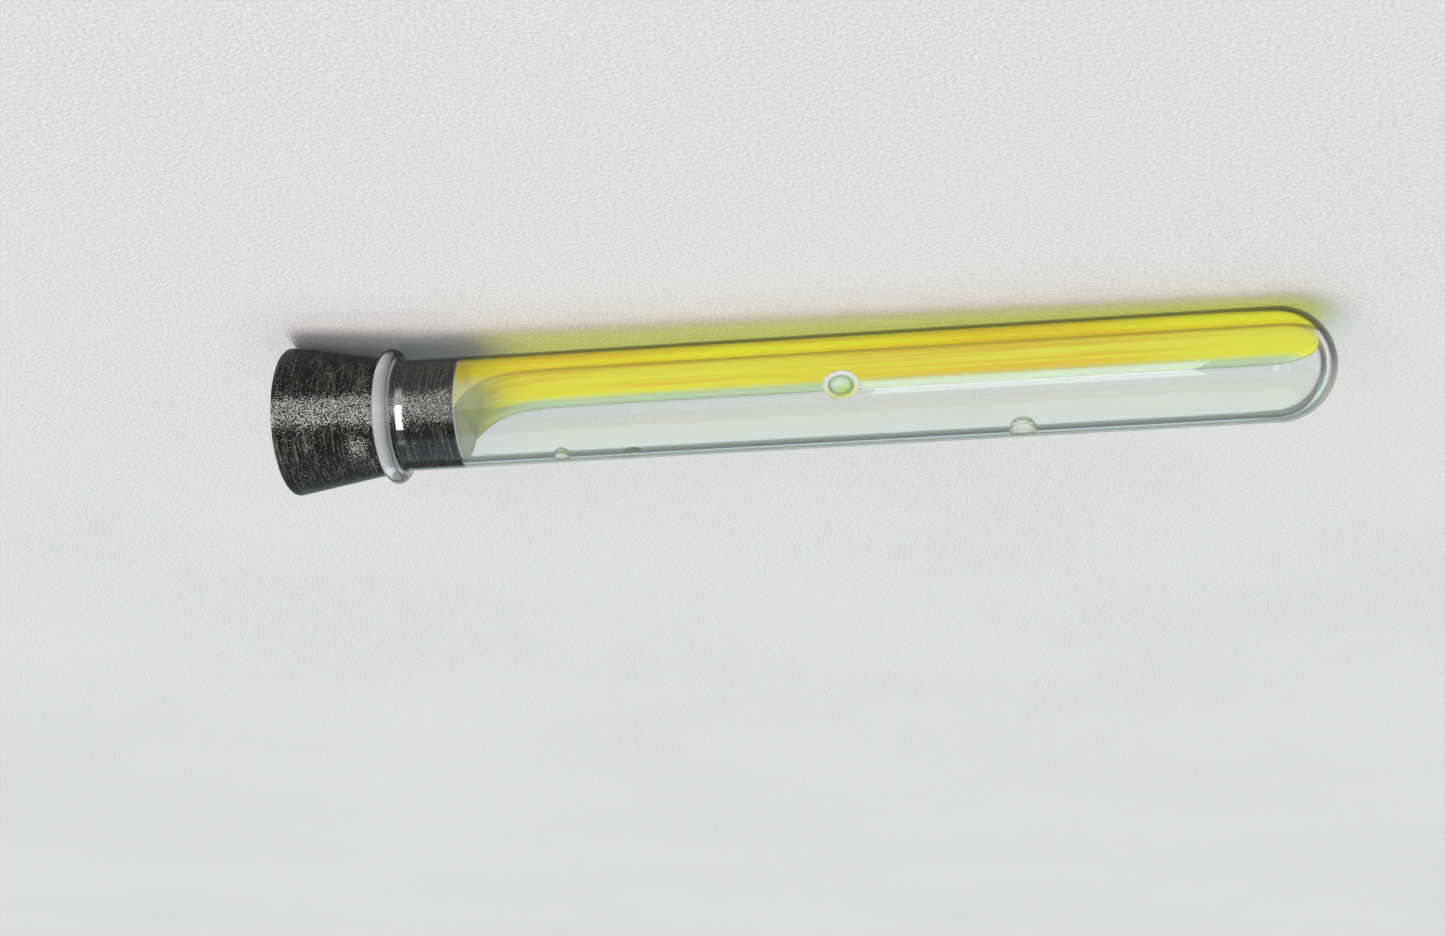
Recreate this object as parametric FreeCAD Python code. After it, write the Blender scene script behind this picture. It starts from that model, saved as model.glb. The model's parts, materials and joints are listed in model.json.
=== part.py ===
"""Round-bottomed glass test tube with a black rubber stopper, lying on its side, part full of yellow liquid.

The tube is one piece of glass: a straight shank, a hemispherical bottom and a fire-polished bead round the mouth.
The stopper is a tapered rubber bung. Its plug is squeezed to the bore, and its head swells over the rounded lip.
The liquid lies along the bottom of the bore, climbs the glass in a meniscus and hangs on to the stopper's face.
A few drops cling to the bore above it.

Each piece is drawn on the tube's own axis: s runs from the mouth's plane (0) to the round bottom, and negative s is
outside the mouth. lay_down() then turns it all onto the floor, where it rests on the stopper's head and the round end.
Row frame: +X along the tube towards the stopper, +Z up, origin on the floor under the middle. Millimetres.
"""

import FreeCAD
import Part
import math
import os

from FreeCAD import Vector

# Glass tube
TUBE_DIAMETER = 18.0
TUBE_LENGTH = 150.0  # mouth to the tip of the round bottom
WALL = 1.2
BOTTOM_WALL = 1.5  # glass gathers at the closed end
BEAD_STAND = 2.0  # how far the bead stands out of the shank
BEAD_WIDTH = 2.4  # along the tube
SHOULDER_ROUND = 1.2  # concave sweep from the bead into the shank

# Rubber stopper
HEAD_LENGTH = 16.0  # how far the stopper stands out of the mouth
HEAD_FLARE = 2.75  # how much the head's radius grows from its neck to its outer end
NECK_STAND = 0.4  # how far the rubber swells out over the lip's round
PLUG_DEPTH = 13.0  # how far it reaches into the bore
HEAD_EDGE_ROUND = 0.65
SWELL_ROUND = 0.35  # rubber rolled over the lip
PLUG_EDGE_ROUND = 0.7
FIT_CLEARANCE = 0.03  # radial, between the squeezed plug and the glass

# Liquid
LEVEL_BELOW_AXIS = 3.7  # of its flat surface, which runs along the axis
MENISCUS_ROUND = 1.2  # of the meniscus along the glass, which the liquid only half wets
CLIMB_ROUND = 5.0  # of the liquid that hangs on to the stopper's face
CONTENTS_GAP = 0.02  # between the liquid or a drop and the glass or rubber

# Drops on the bore: name, distance from the mouth, degrees round the bore (0 faces -Y, 90 is the top),
# half-length along the tube, height off the glass
DROPS = (
    ("front_drop", 74.4, 16.0, 2.9, 0.9),
    ("hanging_drop", 101.8, 90.0, 2.1, 1.9),
    ("small_hanging_drop", 28.8, 92.0, 1.3, 1.2),
    ("back_drop", 39.8, 108.0, 1.4, 0.8),
)

TUBE_RADIUS = TUBE_DIAMETER / 2
BORE_RADIUS = TUBE_RADIUS - WALL
BEAD_ROUND = BEAD_WIDTH / 2  # the heat rounds the lip towards the bore and outwards alike
NECK_RADIUS = BORE_RADIUS + BEAD_ROUND + NECK_STAND
HEAD_RADIUS = NECK_RADIUS + HEAD_FLARE
BORE_END = TUBE_LENGTH - BOTTOM_WALL - BORE_RADIUS  # centre of the bore's round end
WET_RADIUS = BORE_RADIUS - CONTENTS_GAP
WET_START = PLUG_DEPTH + CONTENTS_GAP
SHANK_END = TUBE_LENGTH - TUBE_RADIUS  # centre of the outer round end
AXIS = Vector(1, 0, 0)
REACH = 4 * TUBE_LENGTH  # larger than anything here


def point(s, r):
    """A point of a profile: s along the tube, r out from its axis."""
    return Vector(s, r, 0)


def arc(centre, radius, start, end):
    """Arc of a profile about centre, from start to end in degrees, where 0 points along +s and 90 outwards."""
    def at(degrees):
        turn = math.radians(degrees)
        return centre + Vector(radius * math.cos(turn), radius * math.sin(turn), 0)

    return Part.Arc(at(start), at((start + end) / 2), at(end)).toShape()


def turned(edges):
    """Solid of revolution about the tube's axis from a closed profile."""
    face = Part.Face(Part.Wire(edges))
    return face.revolve(Vector(0, 0, 0), AXIS, 360)


def joined(*ends):
    """Straight edges through the points."""
    return [Part.LineSegment(a, b).toShape() for a, b in zip(ends, ends[1:])]


def rounded(solid, s, r, radius):
    """The solid with its circular edge at (s, r) rounded."""
    edges = [
        edge
        for edge in solid.Edges
        if isinstance(edge.Curve, Part.Circle)
        and abs(edge.Curve.Radius - r) < 1e-4
        and abs(edge.Curve.Center.x - s) < 1e-4
    ]
    return solid.makeFillet(radius, edges)


def lip_centre():
    """Centre of the round that leads from the mouth's plane into the bore."""
    return point(BEAD_ROUND, BORE_RADIUS + BEAD_ROUND)


def crown_centre():
    """Centre of the bead's outer round, which touches the mouth's plane."""
    return point(BEAD_ROUND, TUBE_RADIUS + BEAD_STAND - BEAD_ROUND)


def shoulder():
    """Centre of the concave sweep that touches both the bead and the shank, and where it meets the bead, in degrees."""
    crown = crown_centre()
    rise = TUBE_RADIUS + SHOULDER_ROUND - crown.y
    along = math.sqrt((BEAD_ROUND + SHOULDER_ROUND) ** 2 - rise**2)
    return point(crown.x + along, TUBE_RADIUS + SHOULDER_ROUND), math.degrees(math.atan2(rise, along))


def glass_tube():
    """Shank, round bottom and beaded mouth, in one piece."""
    lip, crown = lip_centre(), crown_centre()
    sweep, touch = shoulder()
    profile = [
        arc(lip, BEAD_ROUND, 270, 180),
        *joined(point(0, lip.y), point(0, crown.y)),
        arc(crown, BEAD_ROUND, 180, touch),
        arc(sweep, SHOULDER_ROUND, 180 + touch, 270),
        *joined(point(sweep.x, TUBE_RADIUS), point(SHANK_END, TUBE_RADIUS)),
        arc(point(SHANK_END, 0), TUBE_RADIUS, 90, 0),
        *joined(point(TUBE_LENGTH, 0), point(BORE_END + BORE_RADIUS, 0)),
        arc(point(BORE_END, 0), BORE_RADIUS, 0, 90),
        *joined(point(BORE_END, BORE_RADIUS), point(BEAD_ROUND, BORE_RADIUS)),
    ]
    return turned(profile)


def rubber_stopper():
    """Conical head, a swell that lies on the lip and follows it into the bore, and the plug squeezed there."""
    plug_radius = BORE_RADIUS - FIT_CLEARANCE
    lip = lip_centre()
    follow = BEAD_ROUND + FIT_CLEARANCE
    neck = point(lip.x - follow, NECK_RADIUS)
    profile = [
        *joined(point(-HEAD_LENGTH, 0), point(-HEAD_LENGTH, HEAD_RADIUS), neck, point(neck.x, lip.y)),
        arc(lip, follow, 180, 270),
        *joined(point(lip.x, plug_radius), point(PLUG_DEPTH, plug_radius), point(PLUG_DEPTH, 0)),
        *joined(point(PLUG_DEPTH, 0), point(-HEAD_LENGTH, 0)),
    ]
    solid = turned(profile)
    solid = rounded(solid, -HEAD_LENGTH, HEAD_RADIUS, HEAD_EDGE_ROUND)
    solid = rounded(solid, PLUG_DEPTH, plug_radius, PLUG_EDGE_ROUND)
    return rounded(solid, neck.x, NECK_RADIUS, SWELL_ROUND)


def wet_space():
    """The room for the liquid and the drops, from the stopper's face to the round end. Its seam is along the bottom."""
    profile = [
        *joined(point(WET_START, 0), point(WET_START, WET_RADIUS), point(BORE_END, WET_RADIUS)),
        arc(point(BORE_END, 0), WET_RADIUS, 90, 0),
        *joined(point(BORE_END + WET_RADIUS, 0), point(WET_START, 0)),
    ]
    space = turned(profile)
    space.rotate(Vector(0, 0, 0), AXIS, -90)
    return space


def rest_angle():
    """How far the axis leans, in radians, when the head's rounded edge and the round bottom both touch the floor."""
    rise = HEAD_RADIUS - HEAD_EDGE_ROUND
    span = HEAD_LENGTH - HEAD_EDGE_ROUND + SHANK_END
    return math.acos((TUBE_RADIUS - HEAD_EDGE_ROUND) / math.hypot(rise, span)) - math.atan2(span, rise)


def lay_down(shape):
    """Turns a shape from the tube's own axis to the row frame: stopper towards +X, resting on the floor."""
    lean = rest_angle()
    # Along X, the part reaches from the round bottom to the head's lower edge.
    bottom_reach = -SHANK_END * math.cos(lean) - TUBE_RADIUS
    head_reach = (
        (HEAD_LENGTH - HEAD_EDGE_ROUND) * math.cos(lean)
        + (HEAD_RADIUS - HEAD_EDGE_ROUND) * math.sin(lean)
        + HEAD_EDGE_ROUND
    )
    mouth = Vector(-(bottom_reach + head_reach) / 2, 0, TUBE_RADIUS + SHANK_END * math.sin(lean))
    placed = shape.copy()
    placed.rotate(Vector(0, 0, 0), Vector(0, 0, 1), 180)
    placed.rotate(Vector(0, 0, 0), Vector(0, 1, 0), -math.degrees(lean))
    placed.translate(mouth)
    return placed


def climb():
    """The liquid that hangs on to the stopper's face: a wedge hollowed by a round that touches the face and the level."""
    wedge = Part.makeBox(CLIMB_ROUND, REACH, CLIMB_ROUND, Vector(WET_START, -REACH / 2, -LEVEL_BELOW_AXIS))
    middle = Vector(WET_START + CLIMB_ROUND, -REACH / 2, CLIMB_ROUND - LEVEL_BELOW_AXIS)
    hollow = Part.makeCylinder(CLIMB_ROUND, REACH, middle, Vector(0, 1, 0))
    return wet_space().common(wedge.cut(hollow))


def liquid():
    """The lower part of the space, with a meniscus: the air over it has rounded edges along the glass."""
    space = wet_space()
    above = Part.makeBox(REACH, REACH, REACH, Vector(-REACH / 2, -REACH / 2, -LEVEL_BELOW_AXIS))
    air = space.common(above)
    waterline = []
    for edge in air.Edges:
        heights = [vertex.Z for vertex in edge.Vertexes] + [edge.CenterOfMass.z]
        along = [vertex.X for vertex in edge.Vertexes]
        if all(abs(height + LEVEL_BELOW_AXIS) < 1e-3 for height in heights) and max(along) > BORE_END - 1e-3:
            waterline.append(edge)
    body = space.cut(air.makeFillet(MENISCUS_ROUND, waterline))
    return body.fuse(climb()).removeSplitter()


def drop(s, degrees, half_length, height):
    """A drop on the bore: the cap of a ball that meets the glass."""
    ball_radius = (half_length**2 + height**2) / (2 * height)
    out = WET_RADIUS - height + ball_radius
    turn = math.radians(degrees)
    centre = Vector(s, out * math.cos(turn), out * math.sin(turn))
    return wet_space().common(Part.makeSphere(ball_radius, centre))


def main():
    nodes = {
        "glass_tube": lay_down(glass_tube()),
        "rubber_stopper": lay_down(rubber_stopper()),
        "yellow_liquid": lay_down(liquid()),
    }
    for name, *form in DROPS:
        nodes[name] = lay_down(drop(*form))
    os.makedirs("parts", exist_ok=True)
    for name, shape in nodes.items():
        solids = shape.Solids
        if len(solids) != 1 or not solids[0].isValid():
            raise ValueError(f"{name} has {len(solids)} solids or isn't valid")
        solids[0].exportStep(f"parts/{name}.step")
        box = solids[0].BoundBox
        print(
            f"{name:20s} volume {solids[0].Volume:9.1f} mm3  X {box.XMin:7.2f} {box.XMax:7.2f}"
            f"  Y {box.YMin:6.2f} {box.YMax:6.2f}  Z {box.ZMin:6.2f} {box.ZMax:6.2f}"
        )
    print(f"leans {math.degrees(rest_angle()):.3f} degrees, mouth's centre {lay_down(Part.Vertex(0, 0, 0)).Point}")


main()
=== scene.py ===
"""Looks for a stoppered glass test tube that lies on a pale table, part full of yellow liquid.

Every piece is drawn on the tube's own axis: local X runs from the mouth's plane towards the round bottom,
local Y points at the near side and local Z points up. tube_frame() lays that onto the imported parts.
The glass, the stopper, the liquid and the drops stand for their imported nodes, with the same sizes and finer
surfaces.
"""

import json
import math
import random

import bmesh
import bpy
import numpy as np
from bpy.props import FloatProperty, FloatVectorProperty, IntProperty, PointerProperty
from mathutils import Matrix, Quaternion, Vector


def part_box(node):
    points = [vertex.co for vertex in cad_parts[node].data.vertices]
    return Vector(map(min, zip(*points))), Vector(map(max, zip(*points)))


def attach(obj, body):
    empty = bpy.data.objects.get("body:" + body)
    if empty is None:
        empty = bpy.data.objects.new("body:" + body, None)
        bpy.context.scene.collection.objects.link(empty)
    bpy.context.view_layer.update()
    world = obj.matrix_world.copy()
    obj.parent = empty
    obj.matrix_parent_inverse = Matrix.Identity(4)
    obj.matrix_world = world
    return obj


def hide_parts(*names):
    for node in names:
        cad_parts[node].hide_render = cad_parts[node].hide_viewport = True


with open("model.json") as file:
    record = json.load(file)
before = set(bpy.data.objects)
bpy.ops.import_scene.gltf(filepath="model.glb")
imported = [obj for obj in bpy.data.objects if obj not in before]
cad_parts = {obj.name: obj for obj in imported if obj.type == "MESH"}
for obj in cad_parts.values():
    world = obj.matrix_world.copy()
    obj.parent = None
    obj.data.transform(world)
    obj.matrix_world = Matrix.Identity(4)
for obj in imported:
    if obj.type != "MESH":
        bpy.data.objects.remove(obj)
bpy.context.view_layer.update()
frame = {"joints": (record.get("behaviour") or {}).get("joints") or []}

bl_info = {
    "name": "Stoppered Test Tube",
    "version": (1, 0, 0),
    "blender": (4, 5, 0),
    "location": "View3D > Sidebar > Test Tube",
    "description": "Builds a round-bottomed test tube with a rubber stopper, yellow liquid and drops",
    "category": "Add Mesh",
}

MM = 0.001
AXIS = Vector(frame["joints"][0]["axis"])
SEED = 7
CLEARANCE = 0.03 * MM  # between the rubber and the lip
SHEEN_BAND_TURN = math.radians(14)  # how far up the near side the rubber's painted sheen band lies
OVERLAP = 0.05 * MM  # wet pieces reach this far into the glass, so that light bends once between them
TUCK = 0.02 * MM  # the liquid reaches this far into the plug's end
FIRM_RING = 0.03 * MM  # from either end of a straight run to its nearest ring
ON_AXIS = 1e-9  # a ring smaller than this is a single point
WELD, LIQUID_WELD = 1e-8, 1e-7  # points closer than this are one
STOPPER_SIDES = 144

GLASS_IOR, LIQUID_IOR, RUBBER_IOR, HIGHLIGHT_BAR_COAT_IOR = 1.47, 1.33, 1.5, 3.0

# Cells of the surface noises in millimetres: along the tube, across it and up
RIPPLE_CELL = (16.667, 3.846, 3.846)
SMEAR_CELL = (11.111, 3.333, 3.333)
MARK_CELL = (0.24, 5.0, 5.0)
GRAIN_CELL = (0.21, 0.21, 0.21)
CLOUD_CELL = (3.0, 2.6, 2.6)
LONG_STREAK_CELL = (70.0, 1.6, 1.2)
FINE_STREAK_CELL = (24.0, 0.5, 0.5)
PATCH_CELL = (14.0, 3.0, 3.0)
TINGE_CELL = (1.1, 1.1, 1.1)
TOOTH_CELL = (0.6, 0.6, 0.6)
WAVE_CELL = (110.0, 110.0, 110.0)

# Name, distance from the mouth, degrees round the bore (0 is the near side, 90 the top), half-length,
# half-width and height off the glass, in millimetres
DROPS = (
    ("front_drop", 74.4, 16.0, 2.9, 2.2, 1.0),
    ("hanging_drop", 101.8, 90.0, 2.1, 1.9, 1.7),
    ("small_hanging_drop", 28.8, 92.0, 1.3, 1.2, 1.1),
    ("back_drop", 39.8, 108.0, 1.4, 1.2, 0.8),
)
DROP_SPOKES, DROP_RINGS = 64, 18

TABLE_SIZE = 20.0

# Suns that glass doesn't show as discs: name, direction, strength and spread in degrees
SUNS = (
    ("key", (0.28, -0.30, 1.0), 1.97, 34),  # from the stopper's end
    ("side", (0.4, -1.0, 0.38), 1.5, 50),  # from the near side
)
SUN_COLOUR = (1.0, 0.909, 0.884)

# A strip light bent round the tube's axis, in flat parts that slant towards the round bottom
STRIP_PARTS = 4
STRIP_REACH, STRIP_WIDTH = 0.6, 0.05
STRIP_STEP, STRIP_SLANT = math.radians(12.5), math.radians(1.37)
STRIP_FIRST = 0.6  # where the middle of the lowest part is, in steps above the table
STRIP_START = 0.2300  # the lowest part's edge, along X
STRIP_POWER = 0.068

FILL_PLACE, FILL_SIZE, FILL_POWER = (-0.03, -1.0, 0.30), (0.20, 0.36), 0.6

LENS, SENSOR = 58.0, 36.0
CAMERA_TARGET = (17.49, 34.39, 10.5)  # in millimetres
CAMERA_AZIMUTH, CAMERA_ELEVATION, CAMERA_ROLL = map(math.radians, (9.187, 19.34, 181.033))
CAMERA_DISTANCE = 402.71 * MM


# ---------------------------------------------------------------- sizes and colours


def length(name, description, millimetres):
    """A length that a user can change."""
    return FloatProperty(
        name=name, description=description, default=millimetres * MM, min=0.0, precision=5,
        subtype="DISTANCE", unit="LENGTH",
    )


def colour(name, description, default):
    """A colour that a user can change."""
    return FloatVectorProperty(
        name=name, description=description, default=default, size=3, min=0.0, max=1.0, subtype="COLOR"
    )


class TubeSizes(bpy.types.PropertyGroup):
    """Sizes of the glass tube."""

    diameter: length("Diameter", "Outer diameter of the shank", 18.0)
    full_length: length("Length", "Mouth to the tip of the round bottom", 150.0)
    wall: length("Wall", "Wall of the shank", 1.2)
    bottom_wall: length("Bottom wall", "Wall at the round bottom", 1.5)
    bead_stand: length("Bead stand", "How far the bead stands out of the shank", 2.0)
    bead_width: length("Bead width", "Width of the bead along the tube", 2.4)
    shoulder_round: length("Shoulder round", "Sweep from the bead into the shank", 1.2)
    segments: IntProperty(name="Segments", description="Sides round the glass", default=160, min=24, max=512)


class StopperSizes(bpy.types.PropertyGroup):
    """Sizes of the rubber stopper."""

    head_length: length("Head length", "How far it stands out of the mouth", 16.0)
    head_flare: length("Head flare", "How much the head grows from its neck to its outer end", 2.75)
    neck_stand: length("Neck stand", "How far the rubber swells out over the lip's round", 0.4)
    plug_depth: length("Plug depth", "How far it reaches into the bore", 13.0)
    head_edge: length("Head edge", "Round of the head's outer edge", 0.65)
    swell_round: length("Swell round", "Round of the rubber rolled over the lip", 0.35)
    plug_edge: length("Plug edge", "Round of the plug's inner edge", 0.7)
    streak_depth: length("Streak depth", "Depth of the fine marks that run round the rubber", 0.02)


class LiquidSizes(bpy.types.PropertyGroup):
    """Sizes of the liquid."""

    level: length("Level", "How far its surface lies below the tube's axis", 3.7)
    meniscus: length("Meniscus", "How far the liquid climbs the glass", 0.9)
    meniscus_reach: length("Meniscus reach", "How far from the glass the climb begins to show", 1.5)
    climb: length("Climb", "How far the liquid climbs the stopper's face", 5.0)
    climb_reach: length("Climb reach", "How far from the stopper the climb fades", 3.2)


class Finishes(bpy.types.PropertyGroup):
    """Colours of the finishes."""

    glass: colour("Glass", "Tint of the glass", (0.975, 0.99, 0.98))
    # Painted shade: the dark lines where the glass is seen edge on, near black on the low side beside the
    # liquid.
    dry_edge_shade: colour("Glass edge", "Tint of the glass where it is seen edge on", (0.20, 0.195, 0.13))
    wet_edge_shade: colour("Wet edge", "Tint of the glass edge beside the liquid", (0.008, 0.009, 0.006))
    glass_light: colour("Glass light", "Tint of the light that passes the glass", (0.97, 0.975, 0.97))
    # Painted light: the bead is made pale and partly opaque, standing in for the light that the glass rim
    # reflects.
    bead: colour("Bead", "The fire-polished bead, faintly milky", (0.92, 0.93, 0.92))
    rubber: colour("Rubber", "Black rubber", (0.004, 0.0038, 0.0032))
    scuff: colour("Scuff", "Fine marks round the rubber", (0.075, 0.072, 0.064))
    # Pale bloom speckles, and also the painted sheen band and painted glint on the rubber.
    bloom_and_painted_sheen: colour("Bloom", "Pale bloom on the rubber", (0.46, 0.455, 0.44))
    # Painted light: the plug's end face is painted pale, standing in for the light that falls on it.
    end_face_painted_light: colour("Inner face", "The plug's end, grey with dust", (0.86, 0.86, 0.86))
    yellow: colour("Yellow", "The liquid", (1.0, 1.0, 0.01))
    lemon: colour("Lemon", "Lemon patches in the liquid", (1.0, 1.0, 0.04))
    orange: colour("Orange", "Streaks in the liquid", (1.0, 0.67, 0.0))
    mint: colour("Mint", "The liquid's thin edge at the glass", (0.58, 0.73, 0.60))
    # Also painted light: pale enough to lift the plug's shade where the liquid climbs.
    climb: colour("Climb", "The liquid where it climbs the stopper", (0.95, 1.0, 0.62))
    liquid_light: colour("Liquid light", "Tint of the light that passes the liquid", (0.85, 0.95, 0.38))
    liquid_depth: colour("Liquid depth", "What the liquid lets through where it is deep", (1.0, 0.98, 0.01))
    green: colour("Green", "The drops", (0.72, 0.93, 0.35))
    drop_clear: colour("Clear drop", "The drops' clearest part", (0.97, 1.0, 0.95))
    # Painted shade: the dark ring inside a drop's rim.
    drop_ring_shade: colour("Drop ring", "The dark ring inside a drop's rim", (0.30, 0.34, 0.28))
    # Painted highlight: the white round a drop's rim.
    drop_rim_highlight: colour("Drop rim", "The frosted rim of a drop", (1.0, 1.0, 1.0))
    drop_light: colour("Drop light", "Tint of the light that passes a drop", (0.95, 0.99, 0.88))
    paper: colour("Paper", "The table", (0.742, 0.742, 0.745))
    ceiling: colour("Ceiling", "Soft light overhead", (0.665, 0.855, 0.90))
    wall: colour("Wall", "Dim walls round the table", (0.165, 0.18, 0.185))


SETTINGS = {"tube": TubeSizes, "stopper": StopperSizes, "liquid": LiquidSizes, "finishes": Finishes}


class TestTubeSettings(bpy.types.PropertyGroup):
    """Everything that a user can change."""

    tube: PointerProperty(type=TubeSizes)
    stopper: PointerProperty(type=StopperSizes)
    liquid: PointerProperty(type=LiquidSizes)
    finishes: PointerProperty(type=Finishes)


# ---------------------------------------------------------------- node maths


class Wire:
    """A number that comes out of a node. Arithmetic on it adds Math nodes."""

    def __init__(self, nodes, socket):
        self.nodes, self.socket = nodes, socket

    def _math(self, operation, *values):
        node = self.nodes.node("Math", {"operation": operation}, dict(enumerate(values)))
        return Wire(self.nodes, node.outputs[0])

    def __add__(self, other):
        return self._math("ADD", self, other)

    def __radd__(self, other):
        return self._math("ADD", other, self)

    def __sub__(self, other):
        return self._math("SUBTRACT", self, other)

    def __rsub__(self, other):
        return self._math("SUBTRACT", other, self)

    def __mul__(self, other):
        return self._math("MULTIPLY", self, other)

    def __rmul__(self, other):
        return self._math("MULTIPLY", other, self)

    def __pow__(self, other):
        return self._math("POWER", self, other)

    def over(self, low, high):
        """0 where this is low, 1 where it is high, smooth between them."""
        settings = {"interpolation_type": "SMOOTHSTEP"}
        node = self.nodes.node("MapRange", settings, {"Value": self, "From Min": low, "From Max": high})
        return Wire(self.nodes, node.outputs["Result"])

    def between(self, low, high, soft):
        """1 between two values and 0 outside, with soft edges."""
        return self.over(low - soft, low + soft) * (1 - self.over(high - soft, high + soft))


class Nodes:
    """A node tree as it is built."""

    def __init__(self, tree):
        self.tree = tree
        self.tree.nodes.clear()

    def node(self, kind, settings=None, inputs=None):
        """A node with its settings, then the values or wires of its sockets."""
        made = self.tree.nodes.new("ShaderNode" + kind)
        for key, value in (settings or {}).items():
            setattr(made, key, value)
        for key, value in (inputs or {}).items():
            if isinstance(value, Wire):
                value = value.socket
            if isinstance(value, bpy.types.NodeSocket):
                self.tree.links.new(value, made.inputs[key])
            else:
                made.inputs[key].default_value = value
        return made

    def wire(self, kind, output, settings=None, inputs=None):
        """One output of a new node, as a number."""
        return Wire(self, self.node(kind, settings, inputs).outputs[output])

    def axes(self, vector):
        """The three parts of a vector, as numbers."""
        parts = self.node("SeparateXYZ", None, {0: vector})
        return [Wire(self, socket) for socket in parts.outputs]

    def blend(self, factor, first, second):
        """A colour between two colours."""
        inputs = {"Factor": factor, 6: self.opaque(first), 7: self.opaque(second)}
        return self.node("Mix", {"data_type": "RGBA"}, inputs).outputs[2]

    @staticmethod
    def opaque(value):
        return value if isinstance(value, bpy.types.NodeSocket) else (*value, 1.0)


class Finish(Nodes):
    """A material as it is built."""

    def __init__(self, name, laid=None):
        self.laid = laid or Matrix.Identity(4)
        self.material = bpy.data.materials.new(name)
        self.material.use_nodes = True
        super().__init__(self.material.node_tree)
        self.output = self.node("OutputMaterial")

    def place(self, cell=(1.0, 1.0, 1.0)):
        """Where a point lies on the tube's own axes, counted in cells of that size in millimetres."""
        inputs = {
            "Vector": self.node("TexCoord").outputs["Object"],
            "Location": self.laid.to_translation(),
            "Rotation": self.laid.to_euler(),
            "Scale": tuple(c * MM for c in cell),
        }
        return self.node("Mapping", {"vector_type": "TEXTURE"}, inputs).outputs["Vector"]

    def noise(self, cell, detail=2.0, roughness=0.5, distortion=0.0):
        """Noise from 0 to 1 with cells of that size in millimetres, along the tube, across it and up."""
        inputs = {
            "Vector": self.place(cell), "Scale": 1.0, "Detail": detail, "Roughness": roughness,
            "Distortion": distortion,
        }
        return self.wire("TexNoise", "Fac", None, inputs)

    def shaded(self, shader, volume=None):
        """The finished material."""
        self.tree.links.new(shader, self.output.inputs["Surface"])
        if volume is not None:
            self.tree.links.new(volume, self.output.inputs["Volume"])
        return self.material


# ---------------------------------------------------------------- meshes


def tube_frame(tube):
    """Where the tube's own axis lies: the round bottom rests on the floor at the low end of X."""
    low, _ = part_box("glass_tube")
    radius = tube.diameter / 2
    end_centre = Vector((low.x + radius, 0.0, low.z + radius))
    mouth = end_centre + AXIS * (tube.full_length - radius)
    to_end = -AXIS
    near = Vector((0.0, -1.0, 0.0))
    up = to_end.cross(near)
    turn = Matrix((to_end, near, up)).transposed()
    return Matrix.Translation(mouth) @ turn.to_4x4()


def arc(centre, radius, start, end, steps):
    """Points of a profile on an arc, from start to end in degrees."""
    turns = np.radians(np.linspace(start, end, steps))
    return [(centre[0] + radius * math.cos(t), centre[1] + radius * math.sin(t)) for t in turns]


def run(start, end, steps):
    """Points between two points of a profile, without the first."""
    return [
        (start[0] + (end[0] - start[0]) * t, start[1] + (end[1] - start[1]) * t)
        for t in np.linspace(0, 1, steps + 1)[1:]
    ]


def straight(start, end, steps):
    """A run along the tube. A close ring at either end keeps its shading straight beside the curves."""
    firm = math.copysign(FIRM_RING, end[0] - start[0])
    first, last = (start[0] + firm, start[1]), (end[0] - firm, end[1])
    return [first, *run(first, last, steps), end]


def corner(before, at, after, radius, steps=9):
    """Points of the arc that rounds a corner of a profile."""
    a = (Vector(before) - Vector(at)).normalized()
    b = (Vector(after) - Vector(at)).normalized()
    half = a.angle(b) / 2
    middle = (a + b).normalized()
    centre = Vector(at) + middle * (radius / math.sin(half))
    start = Vector(at) + a * (radius / math.tan(half)) - centre
    end = Vector(at) + b * (radius / math.tan(half)) - centre
    first = math.atan2(start.y, start.x)
    sweep = (math.atan2(end.y, end.x) - first + math.pi) % math.tau - math.pi
    return [
        (centre.x + radius * math.cos(first + sweep * t), centre.y + radius * math.sin(first + sweep * t))
        for t in np.linspace(0, 1, steps)
    ]


def made_mesh(name, points, faces, smooth=True):
    """A mesh object from points and faces."""
    mesh = bpy.data.meshes.new(name)
    mesh.from_pydata([tuple(p) for p in points], [], [tuple(f) for f in faces])
    mesh.validate()
    mesh.polygons.foreach_set("use_smooth", [smooth] * len(mesh.polygons))
    mesh.update()
    piece = bpy.data.objects.new(name, mesh)
    bpy.context.scene.collection.objects.link(piece)
    return piece


def weld(piece, distance):
    """Joins points that meet, drops faces with no area and turns the rest outwards."""
    work = bmesh.new()
    work.from_mesh(piece.data)
    bmesh.ops.remove_doubles(work, verts=work.verts, dist=distance)
    bmesh.ops.dissolve_degenerate(work, edges=work.edges, dist=distance)
    bmesh.ops.recalc_face_normals(work, faces=work.faces)
    work.to_mesh(piece.data)
    work.free()


def skin(rings, count):
    """Faces between neighbouring rings of points. A ring is one point or has that count of them."""
    faces = []
    for a, b in zip(rings, rings[1:]):
        for i in range(count):
            j = (i + 1) % count
            face = [a[i % len(a)], b[i % len(b)], b[j % len(b)], a[j % len(a)]]
            face = list(dict.fromkeys(face))
            if len(face) > 2:
                faces.append(face)
    return faces


def lathe(name, profile, segments, relief=None):
    """A closed body turned about local X. The profile starts and ends on the axis.

    relief(s, r, turn) says how far a point moves out.
    """
    points, rings = [], []
    turns = np.linspace(0, math.tau, segments, endpoint=False)
    for s, r in profile:
        if r < ON_AXIS:
            rings.append([len(points)])
            points.append((s, 0.0, 0.0))
            continue
        rings.append(list(range(len(points), len(points) + segments)))
        for t in turns:
            out = r + (relief(s, r, t) if relief else 0.0)
            points.append((s, out * math.cos(t), out * math.sin(t)))
    piece = made_mesh(name, points, skin(rings, segments))
    weld(piece, WELD)
    return piece


def radial(point):
    """How far a point lies from the tube's axis."""
    return math.hypot(point.y, point.z)


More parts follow.
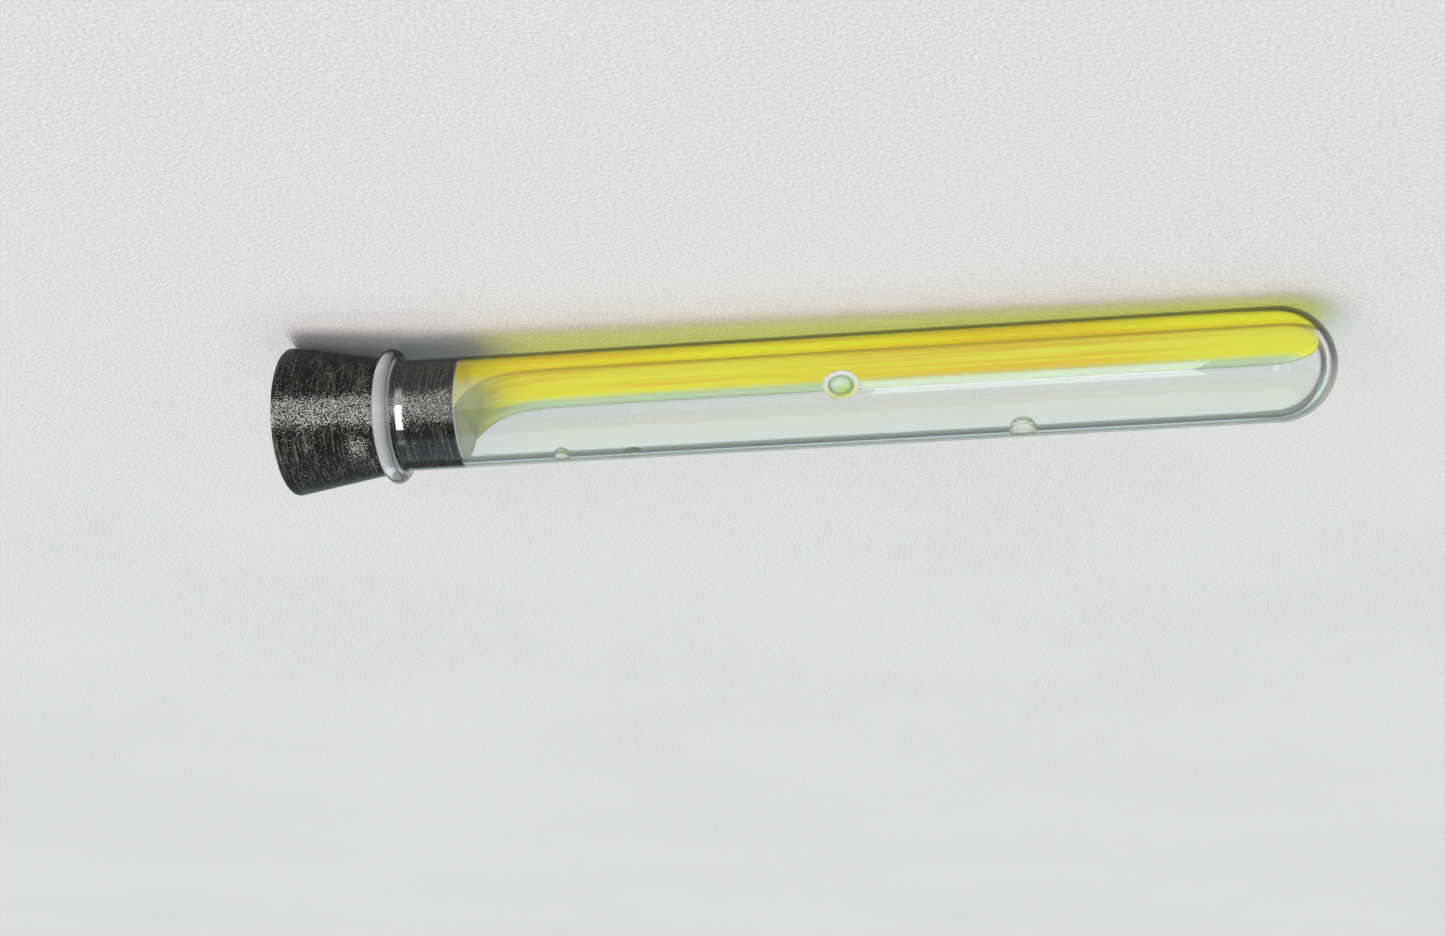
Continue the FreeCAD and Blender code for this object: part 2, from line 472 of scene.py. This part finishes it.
def finished(piece, materials, nodes, body):
    """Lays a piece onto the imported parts, gives it its finishes and says what it stands for."""
    piece.data.transform(tube_frame(bpy.context.scene.test_tube.tube))
    for material in materials:
        piece.data.materials.append(material)
    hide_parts(*nodes)
    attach(piece, body)
    return piece


# ---------------------------------------------------------------- finishes


def lamps_pass(finish, shader, tint, dark_edge=0.0):
    """Lets light from lamps through clear material. dark_edge holds back light that only grazes it."""
    clear = finish.node("BsdfTransparent", None, {"Color": (*tint, 1.0)}).outputs[0]
    shadow = finish.wire("LightPath", "Is Shadow Ray")
    if dark_edge:
        glance = finish.wire("LayerWeight", "Facing", None, {"Blend": 0.5})
        shadow = shadow * (1 - (glance ** 3) * dark_edge)
    return finish.node("MixShader", None, {0: shadow, 1: shader, 2: clear}).outputs[0]


def glass_finish(name, settings, tint, clearness, roughness):
    """Polished glass, with painted shade where it is seen edge on."""
    colours = settings.finishes
    finish = Finish(name, tube_frame(settings.tube))
    ripple = finish.noise(RIPPLE_CELL, 1.0)
    bump = finish.node("Bump", None, {"Strength": 0.03, "Distance": 0.0002, "Height": ripple}).outputs[0]
    smear = finish.noise(SMEAR_CELL, 3.0).over(0.62, 0.8)
    s, near, up = finish.axes(finish.place())
    # The highlight bar beside the bead is the strip light's reflection; a strong coat that the glass doesn't
    # have is laid only there, on the near side, so that it shows as one clear bar.
    highlight_bar_coat = s.between(3.55, 4.75, 0.12) * near.over(5.0, 6.5) * up.over(-1.6, -0.6)
    end = settings.tube.full_length / MM
    rounding = s.over(end - settings.tube.diameter / MM, end)
    # Painted shade: the glass darkens where it is seen edge on, near black on the low side beside the liquid
    # and olive above.
    glance = finish.wire("LayerWeight", "Facing", None, {"Blend": 0.5})
    edge = (glance + rounding * 0.12).over(0.56, 0.68)
    painted_edge_shade = finish.blend(up.over(0.0, 5.0), colours.wet_edge_shade, colours.dry_edge_shade)
    shader = finish.node(
        "BsdfPrincipled", None,
        {
            "Base Color": finish.blend(edge, tint, painted_edge_shade), "Roughness": smear * 0.03 + roughness,
            "IOR": GLASS_IOR, "Specular IOR Level": 0.3, "Transmission Weight": clearness, "Normal": bump,
            "Coat Weight": highlight_bar_coat, "Coat IOR": HIGHLIGHT_BAR_COAT_IOR, "Coat Roughness": 0.0,
        },
    ).outputs[0]
    return finish.shaded(lamps_pass(finish, shader, colours.glass_light, 0.75))


def rubber_finish(settings):
    """Black rubber with fine marks round it and pale bloom speckles, with a painted sheen band along its near
    side and a painted glint by the swell.
    """
    colours = settings.finishes
    depth = settings.stopper.plug_depth / MM
    finish = Finish("black_rubber", tube_frame(settings.tube))
    s, near, up = finish.axes(finish.place())
    # How far a point lies from the middle of the painted sheen band, square to it, in millimetres.
    round_from_sheen_band = up * math.cos(SHEEN_BAND_TURN) - near * math.sin(SHEEN_BAND_TURN)
    # Painted sheen: a pale band along the near side where the highlight falls, with the fine marks left out of
    # it.
    painted_sheen_band = round_from_sheen_band.between(-2.6, 2.4, 1.2) * near.over(0.0, 2.0)
    marks = finish.noise(MARK_CELL, 3.0, 0.65)
    grain = finish.noise(GRAIN_CELL, 2.0, 0.6)
    cloud = finish.noise(CLOUD_CELL, 3.0, 0.6)
    # Painted glint: pale speckles on the swell just outside the lip.
    painted_glint = s.between(-4.4, -1.4, 0.8) * round_from_sheen_band.between(4.0, 7.5, 1.2)
    streak = marks.over(0.52, 0.64) * (1 - painted_sheen_band)
    dust_and_painted_sheen = painted_sheen_band * 0.17 + painted_glint * 0.14 + cloud.over(0.5, 0.7) * 0.05
    speckle_and_painted_sheen = (grain + dust_and_painted_sheen).over(0.60, 0.80)
    # Painted light: the plug's end face is painted pale.
    end_face_painted_light = s.over(depth - 0.3, depth - 0.1)
    base = finish.blend(streak, colours.rubber, colours.scuff)
    base = finish.blend(speckle_and_painted_sheen, base, colours.bloom_and_painted_sheen)
    base = finish.blend(end_face_painted_light, base, colours.end_face_painted_light)
    height = grain * 0.6 + marks * 0.4
    bump = finish.node("Bump", None, {"Strength": 0.7, "Distance": 0.0001, "Height": height}).outputs[0]
    shader = finish.node(
        "BsdfPrincipled", None,
        {
            "Base Color": base, "Roughness": 0.36 + 0.2 * streak, "IOR": RUBBER_IOR,
            "Specular IOR Level": 0.18, "Normal": bump,
        },
    ).outputs[0]
    return finish.shaded(shader)


def liquid_finish(settings):
    """Yellow liquid with orange and lemon streaks, green where it thins at the far side, orange at the near,
    and painted light where it climbs the stopper.
    """
    colours = settings.finishes
    level = settings.liquid.level / MM
    bore = (settings.tube.diameter / 2 - settings.tube.wall) / MM
    edge = math.sqrt(bore**2 - level**2)
    end = settings.tube.full_length / MM
    finish = Finish("yellow_liquid", tube_frame(settings.tube))
    s, near, up = finish.axes(finish.place())
    long_streaks = finish.noise(LONG_STREAK_CELL, 3.0, 0.55, 0.25).over(0.48, 0.58)
    fine_streaks = finish.noise(FINE_STREAK_CELL, 2.0, 0.5).over(0.50, 0.68)
    patches = finish.noise(PATCH_CELL, 2.0, 0.5).over(0.45, 0.62)
    base = finish.blend(patches, colours.yellow, colours.lemon)
    base = finish.blend(fine_streaks * 0.45, base, colours.orange)
    base = finish.blend(long_streaks * 0.8, base, colours.orange)
    base = finish.blend(s.over(end - 36.0, end - 10.0) * 0.8, base, colours.lemon)
    at_surface = up.over(-0.6 - level, -0.1 - level)
    base = finish.blend(near.over(edge - 1.2, edge - 0.2) * at_surface * 0.6, base, colours.orange)
    thin = (1 - near.over(0.3 - edge, 3.0 - edge)) * at_surface
    # Painted light: where the liquid climbs the stopper it is painted pale, lifting the shade that the plug
    # casts on it.
    climb_painted_light = up.over(0.2 - level, 3.0 - level)
    base = finish.blend(thin, base, colours.mint)
    base = finish.blend(climb_painted_light, base, colours.climb)
    shader = finish.node(
        "BsdfPrincipled", None,
        {
            "Base Color": base, "Roughness": 0.0, "IOR": LIQUID_IOR, "Specular IOR Level": 0.2,
            "Transmission Weight": 0.6,
        },
    ).outputs[0]
    depth = finish.node(
        "VolumeAbsorption", None, {"Color": finish.opaque(colours.liquid_depth), "Density": 450.0}
    ).outputs[0]
    return finish.shaded(lamps_pass(finish, shader, colours.liquid_light), depth)


def drop_finish(settings):
    """A clear drop: rough round its rim and painted white there as a highlight, a painted dark ring of shade
    inside that, and a breath of green.
    """
    colours = settings.finishes
    finish = Finish("green_drop", tube_frame(settings.tube))
    across, _, up = finish.axes(finish.node("TexCoord").outputs["Generated"])
    out = (across - 0.5) ** 2 + (up - 0.5) ** 2
    # Painted highlight: the rim is painted white as well as roughened.
    rim = out.over(0.12, 0.15)
    tinge = finish.noise(TINGE_CELL, 2.0) * 0.6 + up - across
    base = finish.blend(tinge.over(0.1, 0.7), colours.drop_clear, colours.green)
    # Painted shade: a dark ring just inside the rim.
    base = finish.blend(out.between(0.075, 0.11, 0.025), base, colours.drop_ring_shade)
    shader = finish.node(
        "BsdfPrincipled", None,
        {
            "Base Color": finish.blend(rim, base, colours.drop_rim_highlight), "Roughness": rim * 0.3,
            "IOR": LIQUID_IOR, "Transmission Weight": 0.85,
        },
    ).outputs[0]
    return finish.shaded(lamps_pass(finish, shader, colours.drop_light))


def paper_finish(colours):
    """Pale matt paper with a fine tooth."""
    finish = Finish("pale_paper")
    tooth = finish.noise(TOOTH_CELL, 4.0, 0.6)
    wave = finish.noise(WAVE_CELL, 2.0)
    pits, waves = (tuple(share * c for c in colours.paper) for share in (0.81, 0.98))
    shade = finish.blend(tooth.over(0.3, 0.7), pits, colours.paper)
    shade = finish.blend(wave.over(0.35, 0.65) * 0.3, shade, waves)
    bump = finish.node("Bump", None, {"Strength": 0.8, "Distance": 0.0003, "Height": tooth}).outputs[0]
    shader = finish.node(
        "BsdfPrincipled", None,
        {"Base Color": shade, "Roughness": 0.9, "Specular IOR Level": 0.1, "Normal": bump},
    ).outputs[0]
    return finish.shaded(shader)


def studio_light(world, colours):
    """A soft light overhead, above dim walls that clear glass shows at its edges."""
    world.use_nodes = True
    nodes = Nodes(world.node_tree)
    _, far, height = nodes.axes(nodes.node("TexCoord").outputs["Generated"])
    # The walls start above a pale skirting, and the near one reaches higher than the far one.
    wall = height.over(0.23, 0.29) * (1 - (height + far * 0.25).over(0.84, 0.90))
    light = nodes.blend(wall, colours.ceiling, colours.wall)
    back = nodes.node("Background", None, {"Color": light, "Strength": 1.0}).outputs[0]
    nodes.node("OutputWorld", None, {"Surface": back})


# ---------------------------------------------------------------- operators


class TESTTUBE_OT_glass(bpy.types.Operator):
    """Add the glass tube: shank, round bottom and fire-polished bead"""

    bl_idname = "testtube.glass"
    bl_label = "Glass Tube"

    def execute(self, context):
        settings = context.scene.test_tube
        tube = settings.tube
        radius = tube.diameter / 2
        bore = radius - tube.wall
        bead = tube.bead_width / 2
        lip, crown = (bead, bore + bead), (bead, radius + tube.bead_stand - bead)
        rise = radius + tube.shoulder_round - crown[1]
        along = math.sqrt((bead + tube.shoulder_round) ** 2 - rise**2)
        touch = math.degrees(math.atan2(rise, along))
        sweep = (crown[0] + along, radius + tube.shoulder_round)
        bore_end = tube.full_length - tube.bottom_wall - bore
        shank_end = tube.full_length - radius
        profile = [
            *arc((bore_end, 0.0), bore, 0, 90, 40),
            *straight((bore_end, bore), (bead, bore), 24),
            *arc(lip, bead, 270, 180, 24)[1:],
            *run((0.0, lip[1]), (0.0, crown[1]), 3),
            *arc(crown, bead, 180, touch, 40)[1:],
            *arc(sweep, tube.shoulder_round, 180 + touch, 270, 14)[1:],
            *straight((sweep[0], radius), (shank_end, radius), 24),
            *arc((shank_end, 0.0), radius, 90, 0, 44)[1:],
        ]
        profile[0] = (profile[0][0], 0.0)
        profile[-1] = (profile[-1][0], 0.0)
        piece = lathe("glass", profile, tube.segments)
        for face in piece.data.polygons:
            face.material_index = int(face.center.x < 1.1 * tube.bead_width and radial(face.center) > lip[1])
        colours = settings.finishes
        clear = glass_finish("clear_glass", settings, colours.glass, 1.0, 0.0)
        # Painted light: the bead's glass is pale and partly opaque, standing in for the light its rim reflects.
        pale_painted_bead = glass_finish("bead_glass_painted_pale", settings, colours.bead, 0.65, 0.04)
        finished(piece, [clear, pale_painted_bead], ["glass_tube"], "tube")
        return {"FINISHED"}


class TESTTUBE_OT_stopper(bpy.types.Operator):
    """Add the rubber stopper, with its plug squeezed to the bore"""

    bl_idname = "testtube.stopper"
    bl_label = "Rubber Stopper"

    def execute(self, context):
        settings = context.scene.test_tube
        tube, stopper = settings.tube, settings.stopper
        bore = tube.diameter / 2 - tube.wall
        bead = tube.bead_width / 2
        lip = (bead, bore + bead)
        follow = bead + CLEARANCE
        neck_radius = lip[1] + stopper.neck_stand
        head_radius = neck_radius + stopper.head_flare
        plug = bore + OVERLAP
        neck = (bead - follow, neck_radius)
        outer = (-stopper.head_length, head_radius)
        tip = (stopper.plug_depth, plug)
        over_lip = arc(lip, follow, 180, 270, 24)
        head_edge = corner((outer[0], 0.0), outer, neck, stopper.head_edge)
        neck_edge = corner(outer, neck, over_lip[0], stopper.swell_round, 7)
        plug_edge = corner((bead, plug), tip, (tip[0], 0.0), stopper.plug_edge)
        profile = [
            *run((outer[0], 0.0), head_edge[0], 12),
            *head_edge[1:],
            *run(head_edge[-1], neck_edge[0], 70),
            *neck_edge[1:],
            *over_lip,
            *run(over_lip[-1], (bead + 0.8 * MM, plug), 4),
            *run((bead + 0.8 * MM, plug), plug_edge[0], 60),
            *plug_edge[1:],
            *run(plug_edge[-1], (tip[0], 0.0), 12),
        ]
        profile.insert(0, (outer[0], 0.0))
        shift = random.Random(SEED)
        marks = [
            (shift.uniform(300, 3000), shift.uniform(0, math.tau), shift.randint(1, 6)) for _ in range(9)
        ]

        def relief(s, r, turn):
            waves = sum(
                math.sin(f * s * math.tau + phase + 0.4 * math.sin(n * turn)) for f, phase, n in marks
            )
            shown = 1.0 if s < -0.5 * MM and r > 0.5 * head_radius else 0.15
            return stopper.streak_depth * shown * waves / len(marks)

        piece = lathe("stopper", profile, STOPPER_SIDES, relief)
        finished(piece, [rubber_finish(settings)], ["rubber_stopper"], "stopper")
        return {"FINISHED"}


class TESTTUBE_OT_liquid(bpy.types.Operator):
    """Add the liquid that lies along the tube, with its meniscus and its climb up the stopper"""

    bl_idname = "testtube.liquid"
    bl_label = "Yellow Liquid"

    def execute(self, context):
        settings = context.scene.test_tube
        tube, liquid = settings.tube, settings.liquid
        bore = tube.diameter / 2 - tube.wall
        wet = bore + OVERLAP
        start = settings.stopper.plug_depth - TUCK
        end = tube.full_length - tube.bottom_wall - bore

        def section(lift):
            """Half of a section, from the middle of the surface out to the glass and down to the bottom."""
            level = -liquid.level + lift

            def surface(out, edge):
                return level + liquid.meniscus * math.exp(-(edge - out) / (liquid.meniscus_reach / 3))

            # Where the surface meets the glass: the edge settles as the climb lifts it.
            edge = math.sqrt(max(wet**2 - level**2, 0.0))
            for _ in range(30):
                edge = math.sqrt(max(wet**2 - surface(edge, edge) ** 2, 0.0))
            shares = 1 - np.linspace(1, 0, 22) ** 1.8
            top = [(edge * t, surface(edge * t, edge)) for t in shares]
            turn = math.atan2(top[-1][1], top[-1][0])
            wall = [
                (wet * math.cos(t), wet * math.sin(t)) for t in np.linspace(turn, -math.pi / 2, 30)[1:]
            ]
            return top + wall

        near_face = [start + (liquid.climb_reach * 5) * t**1.7 for t in np.linspace(0, 1, 40)]
        along = near_face + list(np.linspace(near_face[-1], end, 90)[1:])
        sides = []
        for s in along:
            lift = liquid.climb * math.exp(-(s - start) / liquid.climb_reach)
            sides.append([(s, -out, z) for out, z in section(lift)])
        fan = [
            [(end + out * math.sin(t), -out * math.cos(t), z) for out, z in section(0.0)]
            for t in np.linspace(0, math.pi, 49)[1:-1]
        ]
        back = [[(s, -y, z) for s, y, z in ring] for ring in reversed(sides)]
        stations = sides + fan + back
        count = len(stations[0])
        points = [p for ring in stations for p in ring]
        faces = []
        for i in range(len(stations) - 1):
            for j in range(count - 1):
                a, b = i * count + j, (i + 1) * count + j
                faces.append((a, b, b + 1, a + 1))
        # The face against the stopper, in strips between the two sides.
        last = (len(stations) - 1) * count
        for j in range(count - 1):
            faces.append((j, j + 1, last + j + 1, last + j))
        piece = made_mesh("liquid", points, faces)
        weld(piece, LIQUID_WELD)
        finished(piece, [liquid_finish(settings)], ["yellow_liquid"], "tube")
        return {"FINISHED"}


class TESTTUBE_OT_drops(bpy.types.Operator):
    """Add the drops that cling to the bore"""

    bl_idname = "testtube.drops"
    bl_label = "Drops"

    def execute(self, context):
        settings = context.scene.test_tube
        bore = settings.tube.diameter / 2 - settings.tube.wall
        finish = drop_finish(settings)
        for name, s, degrees, half_length, half_width, height in DROPS:
            points, rings = [], []

            def at(share, turn, lift):
                round_bore = math.radians(degrees) + half_width * MM * share * math.sin(turn) / bore
                r = bore - lift
                x = (s + half_length * share * math.cos(turn)) * MM
                return x, r * math.cos(round_bore), r * math.sin(round_bore)

            steps = [math.sin(t) for t in np.linspace(0, math.pi / 2, DROP_RINGS)]
            layers = [(share, height * MM * math.sqrt(max(1 - share**2, 0.0))) for share in steps]
            layers += [(1.0, -OVERLAP), *[(share, -OVERLAP) for share in reversed(steps[:-1])]]
            for share, lift in layers:
                if share < ON_AXIS:
                    rings.append([len(points)])
                    points.append(at(0.0, 0.0, lift))
                    continue
                rings.append(list(range(len(points), len(points) + DROP_SPOKES)))
                points += [at(share, math.tau * i / DROP_SPOKES, lift) for i in range(DROP_SPOKES)]
            piece = made_mesh(name + "_look", points, skin(rings, DROP_SPOKES))
            weld(piece, WELD)
            finished(piece, [finish], [name], "tube")
        return {"FINISHED"}


class TESTTUBE_OT_stage(bpy.types.Operator):
    """Add the table, the studio light and the camera"""

    bl_idname = "testtube.stage"
    bl_label = "Stage"

    def execute(self, context):
        settings = context.scene.test_tube
        size = TABLE_SIZE
        corners = [(-size, -size, 0), (size, -size, 0), (size, size, 0), (-size, size, 0)]
        table = made_mesh("table", corners, [(0, 1, 2, 3)], smooth=False)
        table.data.materials.append(paper_finish(settings.finishes))

        context.scene.world = bpy.data.worlds.new("studio")
        studio_light(context.scene.world, settings.finishes)
        self.lamps(context)
        self.camera(context)
        context.scene.view_settings.view_transform = "Standard"
        return {"FINISHED"}

    def lamps(self, context):
        """The suns, the strip light and a soft fill from the near side."""
        for name, out, energy, spread in SUNS:
            sun = self.lamp(context, name, "SUN", Vector(out), -Vector(out), energy)
            sun.data.angle, sun.data.color = math.radians(spread), SUN_COLOUR
            sun.visible_glossy = sun.visible_transmission = False
        part_height = 2.0 * STRIP_REACH * math.tan(STRIP_STEP / 2)
        for part in range(STRIP_PARTS):
            rise = STRIP_STEP * (part + STRIP_FIRST)
            out = Vector((0.0, -math.cos(rise), math.sin(rise)))
            along = STRIP_START - part_height * math.tan(STRIP_SLANT) * part + STRIP_WIDTH / 2
            place = out * STRIP_REACH + Vector((along, 0.0, 0.0))
            strip = self.lamp(context, f"strip_{part}", "AREA", place, -out, STRIP_POWER)
            strip.rotation_quaternion = strip.rotation_quaternion @ Quaternion((0, 0, 1), STRIP_SLANT)
            self.rectangle(strip, (STRIP_WIDTH, part_height))
        fill = self.lamp(context, "fill", "AREA", Vector(FILL_PLACE), Vector((0.0, 1.0, 0.0)), FILL_POWER)
        self.rectangle(fill, FILL_SIZE)

    @staticmethod
    def camera(context):
        """The camera, on the near side and turned over."""
        camera = bpy.data.objects.new("camera", bpy.data.cameras.new("camera"))
        context.scene.collection.objects.link(camera)
        camera.data.lens, camera.data.sensor_width = LENS, SENSOR
        forward = Vector(
            (
                math.sin(CAMERA_AZIMUTH) * math.cos(CAMERA_ELEVATION),
                math.cos(CAMERA_AZIMUTH) * math.cos(CAMERA_ELEVATION),
                -math.sin(CAMERA_ELEVATION),
            )
        )
        camera.location = Vector(CAMERA_TARGET) * MM - forward * CAMERA_DISTANCE
        camera.rotation_mode = "QUATERNION"
        camera.rotation_quaternion = forward.to_track_quat("-Z", "Y") @ Quaternion((0, 0, 1), CAMERA_ROLL)
        camera.data.clip_start, camera.data.clip_end = 0.01, 100.0
        context.scene.camera = camera

    @staticmethod
    def rectangle(lamp, size):
        """Gives a lamp its width and height."""
        lamp.data.shape, lamp.data.size, lamp.data.size_y = "RECTANGLE", *size

    @staticmethod
    def lamp(context, name, kind, place, facing, energy):
        """A lamp at a place, facing a direction."""
        made = bpy.data.objects.new(name, bpy.data.lights.new(name, kind))
        made.data.energy = energy
        context.scene.collection.objects.link(made)
        made.location = place
        made.rotation_mode = "QUATERNION"
        made.rotation_quaternion = facing.to_track_quat("-Z", "Y")
        return made


class TESTTUBE_PT_panel(bpy.types.Panel):
    """Lists the pieces and what can be changed"""

    bl_idname = "TESTTUBE_PT_panel"
    bl_label = "Test Tube"
    bl_space_type = "VIEW_3D"
    bl_region_type = "UI"
    bl_category = "Test Tube"

    def draw(self, context):
        settings = context.scene.test_tube
        for operator in OPERATORS:
            self.layout.operator(operator.bl_idname)
        for name, kind in SETTINGS.items():
            box = self.layout.box()
            box.label(text=name.capitalize())
            for key in kind.__annotations__:
                box.prop(getattr(settings, name), key)


OPERATORS = (
    TESTTUBE_OT_glass,
    TESTTUBE_OT_stopper,
    TESTTUBE_OT_liquid,
    TESTTUBE_OT_drops,
    TESTTUBE_OT_stage,
)
CLASSES = (*SETTINGS.values(), TestTubeSettings, *OPERATORS, TESTTUBE_PT_panel)


def register():
    for kind in CLASSES:
        bpy.utils.register_class(kind)
    bpy.types.Scene.test_tube = PointerProperty(type=TestTubeSettings)


def unregister():
    del bpy.types.Scene.test_tube
    for kind in reversed(CLASSES):
        bpy.utils.unregister_class(kind)


def main():
    """Builds everything."""
    register()
    bpy.ops.testtube.glass()
    bpy.ops.testtube.stopper()
    bpy.ops.testtube.liquid()
    bpy.ops.testtube.drops()
    bpy.ops.testtube.stage()


if __name__ == "__main__":
    main()
